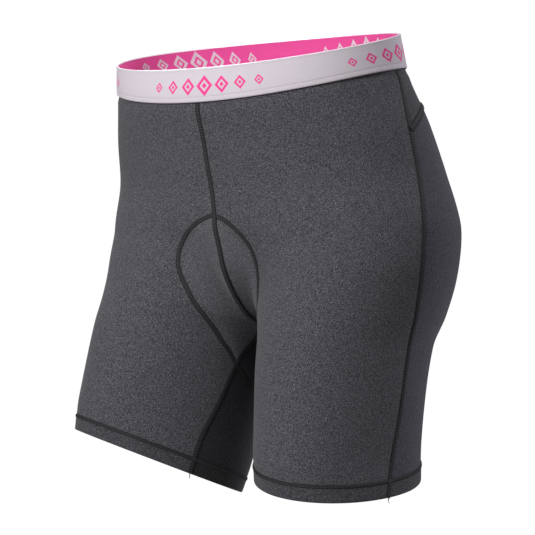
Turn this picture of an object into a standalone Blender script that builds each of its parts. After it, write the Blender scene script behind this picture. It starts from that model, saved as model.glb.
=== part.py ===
# Padded cycling shorts, filled out as if worn and caught in a slow step.
#
# Up is +Z and the wearer faces -Y, so +X is the wearer's left. The origin is the middle of the
# waist opening. Sizes are in metres and angles in degrees.
#
# The cloth is one smooth form with two halves, and each half is a net of level and column. The
# level runs from 0 at the waist rim to 1 at the crotch and to 2 at the hem edge. The column runs
# from 0 at the centre front or the inseam, over 1 at the side seam, to 2 at the centre back or the
# inseam. Above the crotch a level is half of a body ring, below it is a whole thigh ring, and
# between them one is drawn into the other. Every panel is a patch of that net with a thickness.

import bpy
import numpy as np

CLOTH = 0.0014  # wall of the knitted cloth
ELASTIC = 0.0017  # wall of the waistband
TURN_UP = 0.0022  # two layers of cloth at a hem
SEAM_GAP = 0.0003  # between the edges of neighbouring pieces
CROTCH_GAP = 0.0004  # how much more each edge is drawn in where four seams meet
CROTCH_ROWS = 4  # rows of the net over which it is
BAND_DOWN = 0.032  # height of the waistband
BAND_LAP = 0.008  # how far the waistband covers the cloth
TUCK = 0.0012  # the covered cloth lies this much further in
TUCK_LEVELS = 0.02  # levels over which it goes in, just below the waistband
HEM_TALL = 0.0145
PAD_LIFT = 0.0011  # the cloth over the pad stands out by this much
PAD_EASE = 0.007  # width over which it rises
YOKE_BIND = 0.0008  # the bound edge along the foot of the yoke stands out by this much
YOKE_BIND_TALL = 0.0065
BIND_RISE = 0.006  # levels over which it rises

# The body rings, from the waist down.
# pitch: how much higher the back is. dip: how far front and back sink below the sides.
# side: where the side seam lies, from 0 at the front to 180 at the back.
BODY_COLUMNS = ("down", "pitch", "dip", "middle", "half_width", "front", "back", "side")
BODY = (
    (0.000, 14.4, 0.0015, -0.0076, 0.1470, 0.0892, 0.0832, 86.7),
    (0.032, 9.8, 0.0059, -0.0023, 0.1490, 0.0951, 0.0925, 91.8),
    (0.080, 7.3, 0.0031, 0.0072, 0.1608, 0.0978, 0.1131, 84.1),
    (0.120, 6.4, 0.0006, 0.0117, 0.1666, 0.1013, 0.1257, 81.3),
    (0.165, 5.1, 0.0006, 0.0121, 0.1744, 0.1083, 0.1354, 79.3),
    (0.210, 2.8, 0.0004, 0.0051, 0.1762, 0.1075, 0.1296, 80.7),
    (0.260, -0.2, 0.0000, 0.0047, 0.1753, 0.0999, 0.1141, 80.1),
)

# The thigh rings, along the leg from the hip joint.
# side_turn and inseam_turn: how far each seam has moved round to the front.
THIGH_COLUMNS = (
    "along",
    "out",
    "behind",
    "half_width",
    "front",
    "back",
    "side_turn",
    "inseam_turn",
)
THIGH = (
    (0.000, 0.0011, 0.0090, 0.0883, 0.0948, 0.1271, 18.5, 29.3),
    (0.085, 0.0002, 0.0045, 0.0770, 0.0910, 0.1031, 7.6, 3.4),
    (0.115, 0.0000, 0.0000, 0.0705, 0.0914, 0.0931, 4.3, -12.2),
    (0.165, -0.0004, -0.0026, 0.0686, 0.0920, 0.0851, 6.1, -5.3),
    (0.210, 0.0000, -0.0036, 0.0668, 0.0927, 0.0825, 10.5, 3.8),
    (0.245, 0.0023, -0.0045, 0.0679, 0.0889, 0.0769, 15.9, 7.0),
)

HIP = (0.0827, -0.0023, -0.1623)  # joint of the wearer's left leg
LEG_SCALE = 0.914  # length of the leg for one unit along it
CROTCH_DOWN = 0.2592
BLEND_DOWN = 0.100  # body rings start to turn into thigh rings here
BLEND_LEVEL = 0.4
ARCH = 0.015  # radius of the arch between the thighs
ARCH_REACH = 0.55  # columns that the crotch draws inwards
THIGHS_APART = 0.022  # keeps the two halves clear of each other behind the crotch
APART_FROM = 0.6  # columns behind the side seam over which it sets in
APART_INSEAM = 0.10  # columns from the centre back or the inseam over which it sets in
APART_OVER = 0.03  # along the leg, over which it ends
SLOW_START = 0.11  # along the leg, over which columns of the front spread evenly again
BACK_EARLY = 1.6  # the centre back runs forward to the crotch sooner than the centre front runs back
BACK_START = 0.45  # share of the way over which it sets in
INSEAM_BACK = 0.035  # along the leg, over which a carried inseam comes back
HIP_SHIFT = (0.0126, 0.0088)  # hips carried over the standing leg and back
HIP_SHIFT_FROM = 0.02
HIP_SHIFT_OVER = 0.20

# The step: forward swing, spread to the outside and turn-out of each leg, how far its hem is lifted
# on the outside and tipped up at the back, and how far its inseam is carried forward at the crotch.
# The pad lies a little to the wearer's right, so less of its front is on the left half.
LEFT = dict(side=1, swing=1.9, spread=-1.2, turn=0.0, lift=-6.6, tip=8.5, inseam=15.0, pad=0.72)
RIGHT = dict(side=-1, swing=11.3, spread=1.8, turn=21.9, lift=9.2, tip=-9.4, inseam=-10.0, pad=1.0)

# Foot of the yoke, by column from the side seam to the centre back.
YOKE_COLUMNS = ("column", "level")
YOKE = (
    (1.0, 0.338),
    (1.1, 0.303),
    (1.2, 0.277),
    (1.5, 0.252),
    (1.8, 0.245),
    (2.0, 0.244),
)

# Outline of the pad on each half, in columns from the centre seam or the inseam: how far it reaches
# on the front panel and on the back panel. Lower down, where it lies behind the inseam, its front
# reach is negative.
PAD_COLUMNS = ("level", "front", "back")
PAD = (
    (0.490, 0.000, 0.00),
    (0.515, 0.070, 0.00),
    (0.550, 0.135, 0.02),
    (0.630, 0.232, 0.10),
    (0.725, 0.305, 0.20),
    (0.800, 0.342, 0.26),
    (0.865, 0.353, 0.29),
    (0.940, 0.350, 0.31),
    (1.024, 0.324, 0.32),
    (1.125, 0.245, 0.33),
    (1.233, 0.072, 0.32),
    (1.270, 0.000, 0.31),
    (1.294, -0.023, 0.29),
    (1.339, -0.073, 0.25),
    (1.372, -0.127, 0.21),
    (1.400, -0.180, 0.18),
)
COLUMN_LONG = 0.13  # about one quarter of a body ring

CHARCOAL = (0.068, 0.066, 0.073)
LILAC = (0.70, 0.64, 0.70)
CLOTH_ROUGH = 0.9
ROUNDED_EDGE = 0.7  # share of the wall left at a free edge

# Counts of the net.
FRONT_COLUMNS = 14
BACK_COLUMNS = 14
YOKE_ROWS = 7
LOWER_ROWS = 17
ARCH_ROWS = 6
ARCH_ROWS_OVER = 1.2  # radii of the arch that its rows cover
ARCH_CROWDED = 1.6  # power that crowds them at the crotch
LEG_ROWS = 10
BAND_ROWS = 5
HEM_ROWS = 3


def curve(places, values):
    """A smooth line through the values that doesn't swing past them."""
    places = np.asarray(places, float)
    values = np.asarray(values, float)
    step = np.diff(places)
    rise = np.diff(values) / step
    lean = np.zeros(len(places))
    lean[0], lean[-1] = rise[0], rise[-1]
    for i in range(1, len(places) - 1):
        if rise[i - 1] * rise[i] > 0:
            near = 2 * step[i] + step[i - 1]
            far = step[i] + 2 * step[i - 1]
            lean[i] = (near + far) / (near / rise[i - 1] + far / rise[i])

    def value_at(place):
        place = np.clip(place, places[0], places[-1])
        i = np.clip(np.searchsorted(places, place, side="right") - 1, 0, len(places) - 2)
        t = (place - places[i]) / step[i]
        ahead = (1 + 2 * t) * (1 - t) ** 2 * values[i] + t * (1 - t) ** 2 * step[i] * lean[i]
        behind = t * t * (3 - 2 * t) * values[i + 1] + t * t * (t - 1) * step[i] * lean[i + 1]
        return ahead + behind

    return value_at


def curves(columns, rows):
    """One smooth line for each column of a table, by the table's first column."""
    table = np.array(rows, float)
    return {name: curve(table[:, 0], table[:, i]) for i, name in enumerate(columns)}


def ease(t):
    t = np.clip(t, 0, 1)
    return t * t * (3 - 2 * t)


BODY_AT = curves(BODY_COLUMNS, BODY)
THIGH_AT = curves(THIGH_COLUMNS, THIGH)
PAD_AT = curves(PAD_COLUMNS, PAD)
YOKE_AT = curves(YOKE_COLUMNS, YOKE)
LEG_END = THIGH[-1][0]
CROTCH_ALONG = CROTCH_DOWN + HIP[2]
LEG_LONG = LEG_END - CROTCH_ALONG


def blend_of(level, column):
    """How far a level is on its way to the crotch, evenly and as a share of the depth.

    Near the centre seams the levels crowd together at the crotch, so that its bottom is round.
    """
    even = np.clip((level - BLEND_LEVEL) / (1 - BLEND_LEVEL), 0, 1)
    crowded = 1 - (1 - even) ** 2
    return even, even + (crowded - even) * centre_pull(column)


def body_point(down, column):
    at = {name: line(down) for name, line in BODY_AT.items()}
    side = np.radians(at["side"])
    angle = np.where(column <= 1, side * column, side + (np.pi - side) * (column - 1))
    depth = np.where(np.cos(angle) > 0, at["front"], at["back"])
    across = -depth * np.cos(angle)
    pitch = np.radians(at["pitch"])
    sink = at["dip"] * np.cos(2 * angle)
    return np.stack(
        [
            at["half_width"] * np.sin(angle),
            at["middle"] + across * np.cos(pitch),
            -down + across * np.sin(pitch) - sink,
        ],
        -1,
    )


def turned(first, second, degrees):
    angle = np.radians(degrees)
    cos, sin = np.cos(angle), np.sin(angle)
    return first * cos - second * sin, first * sin + second * cos


def thigh_point(along, column, leg, carried):
    """A point of a thigh ring. The inseam is carried round near the crotch by a share of its own."""
    at = {name: line(np.maximum(along, 0)) for name, line in THIGH_AT.items()}
    side_turn = np.radians(at["side_turn"])
    high = 1 - ease((along - CROTCH_ALONG) / INSEAM_BACK)
    inseam_turn = np.radians(at["inseam_turn"] + leg["inseam"] * high * carried)
    near = np.where(column <= 1, column, 2 - column)
    even = ease((along - CROTCH_ALONG) / SLOW_START)
    slow = np.where(column <= 1, near**2 * (2 - near), near)
    share = (1 - even) * slow + even * near
    front = inseam_turn + (np.pi - side_turn - inseam_turn) * share
    back = 2 * np.pi + inseam_turn - (np.pi + inseam_turn + side_turn) * share
    angle = np.where(column <= 1, front, back)
    depth = np.where(np.sin(angle) > 0, at["front"], at["back"])
    x = at["out"] - at["half_width"] * np.cos(angle)
    y = at["behind"] - depth * np.sin(angle)
    low = ease((along - CROTCH_ALONG) / LEG_LONG)
    rise = np.tan(np.radians(leg["lift"])) * x + np.tan(np.radians(leg["tip"])) * y
    z = low * rise - LEG_SCALE * np.maximum(along, 0)
    x, y = turned(x, y, leg["turn"])
    y, z = turned(y, z, -leg["swing"])
    x, z = turned(x, z, leg["spread"])
    return np.stack([x + HIP[0], y + HIP[1], z + HIP[2] + np.maximum(-along, 0)], -1)


def centre_pull(column):
    """1 at the centre seam and the inseam, and 0 where the crotch no longer reaches."""
    near = np.where(column <= 1, column, 2 - column)
    return np.clip(1 - near / ARCH_REACH, 0, 1) ** 2


def own_point(level, column, leg, carried=1.0):
    """A point of one half before the two halves are joined, with x counted outwards."""
    even, share = blend_of(level, column)
    upper = BLEND_DOWN * np.minimum(level / BLEND_LEVEL, 1)
    down = upper + (CROTCH_DOWN - BLEND_DOWN) * share
    early = (1 - (1 - even) ** BACK_EARLY) * ease(even / BACK_START)
    late = np.where(column <= 1, even, early)
    mix = (ease(share) + (late - ease(share)) * centre_pull(column))[..., None]
    along = np.where(level <= 1, down + HIP[2], CROTCH_ALONG + LEG_LONG * (level - 1))
    return (1 - mix) * body_point(down, column) + mix * thigh_point(along, column, leg, carried)


def form(level, column, leg):
    """Point of the cloth's middle surface, at a level and a column of one half."""
    level, column = np.broadcast_arrays(np.asarray(level, float), np.asarray(column, float))
    point = own_point(level, column, leg)
    upper = np.minimum(level, 1)
    end = np.where(column <= 1, 0.0, 2.0)
    joined = (own_point(upper, end, LEFT, 0.0) + own_point(upper, end, RIGHT, 0.0)) / 2
    joined[..., 0] = 0
    below = np.clip((level - 1) * LEG_LONG / ARCH, 0, 1)
    fade = np.where(level > 1, 1 - np.sqrt(1 - (1 - below) ** 2), 1.0)
    pull = (centre_pull(column) * fade)[..., None]
    point = point + pull * (joined - own_point(upper, end, leg))
    behind = ease((column - 1) / APART_FROM) * ease((2 - column) / APART_INSEAM)
    high = 1 - ease((level - 1) * LEG_LONG / APART_OVER)
    apart = THIGHS_APART * np.sqrt(1 - pull[..., 0]) * behind * high
    x = point[..., 0]
    point[..., 0] = (x + np.sqrt(x * x + apart**2)) / 2 * leg["side"]
    carried = ease((-point[..., 2] - HIP_SHIFT_FROM) / HIP_SHIFT_OVER)
    point[..., 0] += HIP_SHIFT[0] * carried
    point[..., 1] += HIP_SHIFT[1] * carried
    return point


def pad_reach(level, leg):
    """Columns that the pad reaches on the front and on the back panel of one half."""
    front = PAD_AT["front"](level)
    return np.where(front > 0, front * leg["pad"], front), PAD_AT["back"](level)


def pad_inside(level, column, leg):
    """How far inside the pad's outline a place is, as a rough length, and negative outside."""
    near = np.where(column <= 1, column, 2 - column)
    front, back = pad_reach(level, leg)
    behind = np.where(column <= 1, -near, near)
    across = np.minimum(behind + front, back - behind)
    above = np.where(column <= 1, front, back) - near
    return np.where(level > 1, across, above) * COLUMN_LONG


def yoke_level(column):
    return YOKE_AT["level"](np.maximum(column, 1.0))


def spaced(start, end, count):
    return start + (end - start) * np.arange(1, count + 1) / count


CLOTH_TOP = (BAND_DOWN - BAND_LAP) / BLEND_DOWN * BLEND_LEVEL
BAND_FOOT = BAND_DOWN / BLEND_DOWN * BLEND_LEVEL
TUCK_FROM = BAND_FOOT + TUCK_LEVELS / 2
TUCK_TO = TUCK_FROM + TUCK_LEVELS
HEM_LEVEL = 2 - HEM_TALL / LEG_LONG
ARCH_LEVEL = 1 + ARCH_ROWS_OVER * ARCH / LEG_LONG


def level_rows(column):
    """All levels of one column, from the cloth's top to the hem seam."""
    foot = yoke_level(column)
    t = spaced(0, 1, LOWER_ROWS)
    arch = spaced(0, 1, ARCH_ROWS)
    bind = (YOKE_BIND_TALL / BLEND_DOWN) * BLEND_LEVEL
    return np.concatenate(
        [
            [CLOTH_TOP, TUCK_FROM, TUCK_TO],
            spaced(TUCK_TO, foot - bind - BIND_RISE, YOKE_ROWS - 4),
            [foot - bind, foot],
            foot + (1 - foot) * t,
            1 + (ARCH_LEVEL - 1) * arch**ARCH_CROWDED,
            spaced(ARCH_LEVEL, HEM_LEVEL, LEG_ROWS),
        ]
    )


YOKE_FOOT_ROW = 3 + (YOKE_ROWS - 4) + 1
CROTCH_ROW = YOKE_FOOT_ROW + LOWER_ROWS


def net():
    """Levels, columns, points and directions outwards of both halves."""
    columns = np.concatenate([np.linspace(0, 1, FRONT_COLUMNS + 1), 1 + spaced(0, 1, BACK_COLUMNS)])
    levels = np.stack([level_rows(column) for column in columns], 1)
    column_grid = np.broadcast_to(columns, levels.shape)
    halves = {}
    for leg in (LEFT, RIGHT):
        halves[leg["side"]] = form(levels, column_grid, leg)
    return levels, column_grid, halves


def face_directions(points):
    """Sum of the faces' normals at each point of a grid."""
    along = points[1:, 1:] - points[:-1, :-1]
    cross = points[1:, :-1] - points[:-1, 1:]
    normal = np.cross(cross, along)
    total = np.zeros_like(points)
    for rows in (slice(1, None), slice(None, -1)):
        for cols in (slice(1, None), slice(None, -1)):
            total[rows, cols] += normal
    return total


def unit(vectors):
    return vectors / np.maximum(np.linalg.norm(vectors, axis=-1, keepdims=True), 1e-12)


def outward(halves):
    """Directions outwards, shared by pieces that meet at a seam."""
    total = {side: face_directions(points) * side for side, points in halves.items()}
    top = CROTCH_ROW + 1
    for end in (0, -1):
        shared = total[1][:top, end] + total[-1][:top, end]
        shared[:, 0] = 0
        total[1][:top, end] = shared
        total[-1][:top, end] = shared
    for side in (1, -1):
        shared = total[side][CROTCH_ROW:, 0] + total[side][CROTCH_ROW:, -1]
        total[side][CROTCH_ROW:, 0] = shared
        total[side][CROTCH_ROW:, -1] = shared
    crotch = sum(total[side][CROTCH_ROW, 0] for side in (1, -1))
    for side in (1, -1):
        total[side][CROTCH_ROW, 0] = crotch
        total[side][CROTCH_ROW, -1] = crotch
    return {side: unit(vectors) for side, vectors in total.items()}


def edge_step(edge, inner, directions):
    """Unit steps from a piece's edge into the piece, square to the edge and flat on the cloth."""
    tangent = np.gradient(edge, axis=0)
    step = unit(np.cross(directions, tangent))
    side = np.sum(step * (inner - edge), axis=-1, keepdims=True)
    return step * np.where(side.sum() < 0, -1, 1)


def drawn_in(points, directions, closed, crotch):
    """The grid with its edges moved inwards by half of a seam's gap, and a little more at a crotch."""
    gap = SEAM_GAP / 2
    moved = points.copy()
    moved[0] += edge_step(points[0], points[1], directions[0]) * gap
    moved[-1] += edge_step(points[-1], points[-2], directions[-1]) * gap
    if not closed:
        first = edge_step(points[:, 0], points[:, 1], directions[:, 0])
        last = edge_step(points[:, -1], points[:, -2], directions[:, -1])
        wider = ease(1 - np.abs(np.arange(len(points)) - crotch) / CROTCH_ROWS)
        sides = (gap + CROTCH_GAP * wider)[:, None]
        moved[:, 0] += first * sides
        moved[:, -1] += last * sides
    return moved


def solid(name, points, directions, inner, outer, material, closed=False, crotch=CROTCH_ROW):
    """A piece with a thickness: its grid moved in by one field and out by the other."""
    points = drawn_in(points, directions, closed, crotch)
    rows, cols = points.shape[:2]
    outside = points + directions * outer[..., None]
    inside = points - directions * inner[..., None]
    verts = np.concatenate([outside.reshape(-1, 3), inside.reshape(-1, 3)])
    shift = rows * cols
    faces = []
    last = cols if closed else cols - 1
    for i in range(rows - 1):
        for j in range(last):
            k = (j + 1) % cols
            a, b, c, d = i * cols + j, i * cols + k, (i + 1) * cols + k, (i + 1) * cols + j
            faces.append((a, d, c, b))
            faces.append((a + shift, b + shift, c + shift, d + shift))
    rims = []
    if closed:
        top = list(range(cols))
        foot = [(rows - 1) * cols + j for j in range(cols)]
        rims.append(top)
        rims.append(foot[::-1])
    else:
        edge = list(range(cols))
        edge += [i * cols + cols - 1 for i in range(1, rows)]
        edge += [(rows - 1) * cols + j for j in range(cols - 2, -1, -1)]
        edge += [i * cols for i in range(rows - 2, 0, -1)]
        rims.append(edge)
    for rim in rims:
        for a, b in zip(rim, rim[1:] + rim[:1]):
            faces.append((a, b, b + shift, a + shift))
    mesh = bpy.data.meshes.new(name)
    mesh.from_pydata([tuple(v) for v in verts], [], faces)
    mesh.validate()
    mesh.shade_smooth()
    mesh.materials.append(material)
    obj = bpy.data.objects.new(name, mesh)
    bpy.context.scene.collection.objects.link(obj)
    return obj


def cloth_material(name, color, rough):
    material = bpy.data.materials.new(name)
    material.use_nodes = True
    surface = material.node_tree.nodes["Principled BSDF"]
    surface.inputs["Base Color"].default_value = (*color, 1)
    surface.inputs["Roughness"].default_value = rough
    surface.inputs["Metallic"].default_value = 0
    return material


def closed_directions(points):
    """Directions outwards of a grid whose columns go all the way round."""
    wrapped = np.concatenate([points[:, -1:], points, points[:, :1]], 1)
    return unit(face_directions(wrapped)[:, 1:-1])


def round_the_back(left, right):
    """One grid from the left side seam over the centre back to the right side seam."""
    return np.concatenate([left, right[:, ::-1][:, 1:]], 1)


def panels(levels, columns, halves, directions, tuck):
    """Front and back panels of both legs."""
    for leg, word in ((LEFT, "left"), (RIGHT, "right")):
        side = leg["side"]
        lift = PAD_LIFT * ease(pad_inside(levels, columns, leg) / PAD_EASE)
        for part, cols, top in (
            ("front", slice(0, FRONT_COLUMNS + 1), 0),
            ("back", slice(FRONT_COLUMNS, None), YOKE_FOOT_ROW),
        ):
            here = (slice(top, None), cols)
            grids = [
                halves[side][here],
                directions[side][here],
                CLOTH / 2 + tuck[here],
                CLOTH / 2 - tuck[here] + lift[here],
            ]
            if side < 0:
                grids = [grid[:, ::-1] for grid in grids]
            name = f"{part}_{word}"
            material = cloth_material(name, CHARCOAL, CLOTH_ROUGH)
            solid(name, *grids, material, crotch=CROTCH_ROW - top)


def yoke(halves, directions, tuck):
    here = (slice(0, YOKE_FOOT_ROW + 1), slice(FRONT_COLUMNS, None))
    points = round_the_back(halves[1][here], halves[-1][here])
    out = round_the_back(directions[1][here], directions[-1][here])
    tucked = round_the_back(tuck[here], tuck[here])
    bound = np.zeros_like(tucked)
    bound[-2:] = YOKE_BIND
    material = cloth_material("back_yoke", CHARCOAL, CLOTH_ROUGH)
    solid("back_yoke", points, out, CLOTH / 2 + tucked, CLOTH / 2 - tucked + bound, material)


def waistband(columns):
    tall = np.linspace(0, BAND_FOOT, BAND_ROWS + 1)
    level_grid, column_grid = np.meshgrid(tall, columns, indexing="ij")
    left = form(level_grid, column_grid, LEFT)
    right = form(level_grid, column_grid, RIGHT)
    points = round_the_back(left, right)[:, :-1]
    out = closed_directions(points)
    middle = CLOTH / 2 - TUCK + SEAM_GAP + ELASTIC / 2
    half = np.full(points.shape[:2], ELASTIC / 2)
    half[0] *= ROUNDED_EDGE
    half[-1] *= ROUNDED_EDGE
    material = cloth_material("waistband", LILAC, CLOTH_ROUGH)
    solid("waistband", points, out, half - middle, half + middle, material, closed=True)


def hem(columns, leg, word):
    tall = np.linspace(HEM_LEVEL, 2, HEM_ROWS + 1)
    level_grid, column_grid = np.meshgrid(tall, columns[:-1], indexing="ij")
    points = form(level_grid, column_grid, leg)[:, :: leg["side"]]
    out = closed_directions(points)
    half = np.full(points.shape[:2], TURN_UP / 2)
    half[-1] *= ROUNDED_EDGE
    name = f"hem_{word}"
    material = cloth_material(name, CHARCOAL, CLOTH_ROUGH)
    solid(name, points, out, half, half, material, closed=True)


def main():
    for obj in list(bpy.data.objects):
        bpy.data.objects.remove(obj)
    levels, column_grid, halves = net()
    directions = outward(halves)
    tuck = TUCK * ease((TUCK_TO - levels) / TUCK_LEVELS)
    panels(levels, column_grid, halves, directions, tuck)
    yoke(halves, directions, tuck)
    waistband(column_grid[0])
    hem(column_grid[0], LEFT, "left")
    hem(column_grid[0], RIGHT, "right")


main()
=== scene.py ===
# The look of the padded cycling shorts: fine cloth shells on the frame's solids, with their seams,
# hem sewing, stitched pad outline and patterned waistband, and the camera, light and floor.
#
# The cloth's form is worked out here from the same named sizes as the solids, on a finer net.

import math

import bpy
import numpy as np
from mathutils import Matrix, Vector


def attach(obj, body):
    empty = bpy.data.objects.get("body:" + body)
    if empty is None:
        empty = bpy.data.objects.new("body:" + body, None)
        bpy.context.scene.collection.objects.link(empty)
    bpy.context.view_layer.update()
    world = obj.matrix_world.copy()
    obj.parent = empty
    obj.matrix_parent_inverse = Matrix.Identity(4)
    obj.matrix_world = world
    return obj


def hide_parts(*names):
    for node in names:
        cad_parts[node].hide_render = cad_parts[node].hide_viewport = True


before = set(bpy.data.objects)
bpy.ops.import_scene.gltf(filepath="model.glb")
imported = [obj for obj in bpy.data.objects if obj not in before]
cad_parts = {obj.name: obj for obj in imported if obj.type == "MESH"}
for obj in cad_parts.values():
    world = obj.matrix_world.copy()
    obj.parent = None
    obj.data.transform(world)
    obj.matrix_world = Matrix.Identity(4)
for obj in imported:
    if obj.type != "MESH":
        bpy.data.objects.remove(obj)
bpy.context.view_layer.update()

CLOTH = 0.0014  # wall of the knitted cloth
ELASTIC = 0.0017  # wall of the waistband
TURN_UP = 0.0022  # two layers of cloth at a hem
SEAM_GAP = 0.0003  # between the waistband and the cloth under it
BAND_DOWN = 0.032  # height of the waistband
BAND_LAP = 0.008  # how far the waistband covers the cloth
TUCK = 0.0012  # the covered cloth lies this much further in
TUCK_LEVELS = 0.02  # levels over which it goes in, just below the waistband
HEM_TALL = 0.0145
PAD_LIFT = 0.0011  # the cloth over the pad stands out by this much
PAD_EASE = 0.007  # width over which it rises
YOKE_BIND_TALL = 0.0065  # height of the bound edge along the foot of the yoke
BIND_RISE = 0.006  # levels above it that the net's last row of the yoke leaves free

# The body rings, from the waist down.
# pitch: how much higher the back is. dip: how far front and back sink below the sides.
# side: where the side seam lies, from 0 at the front to 180 at the back.
BODY_COLUMNS = ("down", "pitch", "dip", "middle", "half_width", "front", "back", "side")
BODY = (
    (0.000, 14.4, 0.0015, -0.0076, 0.1470, 0.0892, 0.0832, 86.7),
    (0.032, 9.8, 0.0059, -0.0023, 0.1490, 0.0951, 0.0925, 91.8),
    (0.080, 7.3, 0.0031, 0.0072, 0.1608, 0.0978, 0.1131, 84.1),
    (0.120, 6.4, 0.0006, 0.0117, 0.1666, 0.1013, 0.1257, 81.3),
    (0.165, 5.1, 0.0006, 0.0121, 0.1744, 0.1083, 0.1354, 79.3),
    (0.210, 2.8, 0.0004, 0.0051, 0.1762, 0.1075, 0.1296, 80.7),
    (0.260, -0.2, 0.0000, 0.0047, 0.1753, 0.0999, 0.1141, 80.1),
)

# The thigh rings, along the leg from the hip joint.
# side_turn and inseam_turn: how far each seam has moved round to the front.
THIGH_COLUMNS = "along out behind half_width front back side_turn inseam_turn".split()
THIGH = (
    (0.000, 0.0011, 0.0090, 0.0883, 0.0948, 0.1271, 18.5, 29.3),
    (0.085, 0.0002, 0.0045, 0.0770, 0.0910, 0.1031, 7.6, 3.4),
    (0.115, 0.0000, 0.0000, 0.0705, 0.0914, 0.0931, 4.3, -12.2),
    (0.165, -0.0004, -0.0026, 0.0686, 0.0920, 0.0851, 6.1, -5.3),
    (0.210, 0.0000, -0.0036, 0.0668, 0.0927, 0.0825, 10.5, 3.8),
    (0.245, 0.0023, -0.0045, 0.0679, 0.0889, 0.0769, 15.9, 7.0),
)

HIP = (0.0827, -0.0023, -0.1623)  # joint of the wearer's left leg
LEG_SCALE = 0.914  # length of the leg for one unit along it
CROTCH_DOWN = 0.2592
BLEND_DOWN = 0.100  # body rings start to turn into thigh rings here
BLEND_LEVEL = 0.4
ARCH = 0.015  # radius of the arch between the thighs
ARCH_REACH = 0.55  # columns that the crotch draws inwards
THIGHS_APART = 0.022  # keeps the two halves clear of each other behind the crotch
APART_FROM = 0.6  # columns behind the side seam over which it sets in
APART_INSEAM = 0.10  # columns from the centre back or the inseam over which it sets in
APART_OVER = 0.03  # along the leg, over which it ends
SLOW_START = 0.11  # along the leg, over which columns of the front spread evenly again
BACK_EARLY = 1.6  # how much sooner the centre back runs forward to the crotch
BACK_START = 0.45  # share of the way over which it sets in
INSEAM_BACK = 0.035  # along the leg, over which a carried inseam comes back
HIP_SHIFT = (0.0126, 0.0088)  # hips carried over the standing leg and back
HIP_SHIFT_FROM = 0.02
HIP_SHIFT_OVER = 0.20

# The step: forward swing, spread to the outside and turn-out of each leg, how far its hem is lifted
# on the outside and tipped up at the back, and how far its inseam is carried forward at the crotch.
# The pad lies a little to the wearer's right, so less of its front is on the left half.
LEFT = dict(side=1, swing=1.9, spread=-1.2, turn=0.0, lift=-6.6, tip=8.5, inseam=15.0, pad=0.72)
RIGHT = dict(side=-1, swing=11.3, spread=1.8, turn=21.9, lift=9.2, tip=-9.4, inseam=-10.0, pad=1.0)

# Foot of the yoke, by column from the side seam to the centre back.
YOKE_COLUMNS = ("column", "level")
YOKE = (
    (1.0, 0.338),
    (1.1, 0.303),
    (1.2, 0.277),
    (1.5, 0.252),
    (1.8, 0.245),
    (2.0, 0.244),
)

# Outline of the pad on each half, in columns from the centre seam or the inseam: how far it reaches
# on the front panel and on the back panel. Lower down, where it lies behind the inseam, its front
# reach is negative.
PAD_COLUMNS = ("level", "front", "back")
PAD = (
    (0.490, 0.000, 0.00),
    (0.515, 0.070, 0.00),
    (0.550, 0.135, 0.02),
    (0.630, 0.232, 0.10),
    (0.725, 0.305, 0.20),
    (0.800, 0.342, 0.26),
    (0.865, 0.353, 0.29),
    (0.940, 0.350, 0.31),
    (1.024, 0.324, 0.32),
    (1.125, 0.245, 0.33),
    (1.233, 0.072, 0.32),
    (1.270, 0.000, 0.31),
    (1.294, -0.023, 0.29),
    (1.339, -0.073, 0.25),
    (1.372, -0.127, 0.21),
    (1.400, -0.180, 0.18),
)
COLUMN_LONG = 0.13  # about one quarter of a body ring

# Counts of the fine net.
FRONT_COLUMNS = 84
BACK_COLUMNS = 84
YOKE_ROWS = 34
LOWER_ROWS = 96
ARCH_ROWS = 18
ARCH_ROWS_OVER = 1.2
ARCH_CROWDED = 1.6
LEG_ROWS = 60


def curve(places, values):
    """A smooth line through the values that doesn't swing past them."""
    places = np.asarray(places, float)
    values = np.asarray(values, float)
    step = np.diff(places)
    rise = np.diff(values) / step
    lean = np.zeros(len(places))
    lean[0], lean[-1] = rise[0], rise[-1]
    for i in range(1, len(places) - 1):
        if rise[i - 1] * rise[i] > 0:
            near = 2 * step[i] + step[i - 1]
            far = step[i] + 2 * step[i - 1]
            lean[i] = (near + far) / (near / rise[i - 1] + far / rise[i])

    def value_at(place):
        place = np.clip(place, places[0], places[-1])
        i = np.clip(np.searchsorted(places, place, side="right") - 1, 0, len(places) - 2)
        t = (place - places[i]) / step[i]
        ahead = (1 + 2 * t) * (1 - t) ** 2 * values[i] + t * (1 - t) ** 2 * step[i] * lean[i]
        behind = t * t * (3 - 2 * t) * values[i + 1] + t * t * (t - 1) * step[i] * lean[i + 1]
        return ahead + behind

    return value_at


def curves(columns, rows):
    """One smooth line for each column of a table, by the table's first column."""
    table = np.array(rows, float)
    return {name: curve(table[:, 0], table[:, i]) for i, name in enumerate(columns)}


def ease(t):
    t = np.clip(t, 0, 1)
    return t * t * (3 - 2 * t)


BODY_AT = curves(BODY_COLUMNS, BODY)
THIGH_AT = curves(THIGH_COLUMNS, THIGH)
PAD_AT = curves(PAD_COLUMNS, PAD)
YOKE_AT = curves(YOKE_COLUMNS, YOKE)
LEG_END = THIGH[-1][0]
CROTCH_ALONG = CROTCH_DOWN + HIP[2]
LEG_LONG = LEG_END - CROTCH_ALONG


def blend_of(level, column):
    """How far a level is on its way to the crotch, evenly and as a share of the depth.

    Near the centre seams the levels crowd together at the crotch, so that its bottom is round.
    """
    even = np.clip((level - BLEND_LEVEL) / (1 - BLEND_LEVEL), 0, 1)
    crowded = 1 - (1 - even) ** 2
    return even, even + (crowded - even) * centre_pull(column)


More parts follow.
